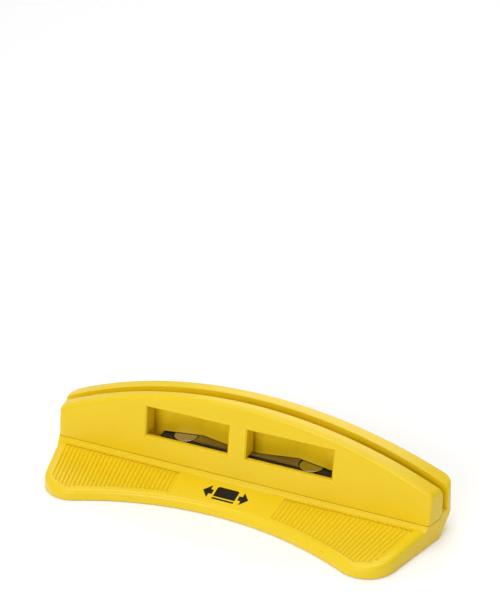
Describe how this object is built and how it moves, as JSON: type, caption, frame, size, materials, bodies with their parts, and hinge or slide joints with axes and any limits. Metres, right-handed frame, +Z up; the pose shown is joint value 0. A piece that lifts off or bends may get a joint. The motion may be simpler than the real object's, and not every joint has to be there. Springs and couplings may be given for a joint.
{
  "type": "ski wax scraper sharpener",
  "caption": "Arched hand tool with a long guide slot over a flat steel file, two chip windows and a ridged grip flange, for truing the edge of a plastic wax scraper.",
  "frame": {"origin": "middle of the footprint, on the surface that the tool stands on", "axes": "+X along the slot, +Y from the grip flange to the rear guide wall, +Z up"},
  "size_m": [0.2108, 0.0619, 0.0487],
  "materials": {
    "yellow_moulding": "semi-gloss",
    "file_steel": "cut teeth",
    "black_plastic": "matt",
    "plated_steel": "zinc plated",
    "insert_brass": "turned",
    "pad_rubber": "matt"
  },
  "bodies": {
    "root": {"base_body": "yellow_moulding", "front_guide_wall": "yellow_moulding", "file_plate": "file_steel", "file_bed": "black_plastic", "file_clamp_screws": "plated_steel", "clamp_screw_inserts": "insert_brass", "guide_wall_screws": "plated_steel", "anti_slip_pads": "pad_rubber"}
  },
  "joints": []
}
